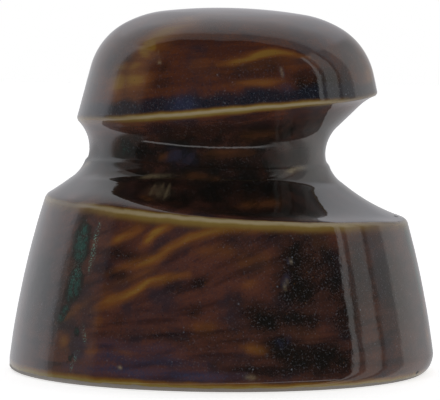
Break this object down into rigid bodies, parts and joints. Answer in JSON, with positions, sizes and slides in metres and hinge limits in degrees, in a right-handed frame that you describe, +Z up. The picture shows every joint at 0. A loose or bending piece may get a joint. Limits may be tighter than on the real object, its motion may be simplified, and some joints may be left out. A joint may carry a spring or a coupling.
{
  "type": "fence insulator",
  "caption": "Pin-type porcelain fence insulator: domed crown, off-centre wire groove, flared skirt, and a threaded metal thimble cemented in the pin socket.",
  "frame": {"origin": "centre of the base ring, on the plane the insulator stands on", "axes": "+Z up along the pin's axis to the crown, -Y the side shown in the source view, +X the side where the wire groove is deepest"},
  "size_m": [0.0926, 0.0926, 0.0789],
  "materials": {
    "glazed_porcelain": "glossy brown glaze, mottled, paler where it breaks over the edges",
    "cement": "matte Portland cement",
    "zinc": "dull cast zinc",
    "cork": "granular cork",
    "bitumen": "satin black bitumen"
  },
  "bodies": {
    "root": {"porcelain_body": "glazed_porcelain", "cement_sleeve": "cement", "threaded_thimble": "zinc", "cork_cushion": "cork", "seal_ring": "bitumen"}
  },
  "joints": []
}
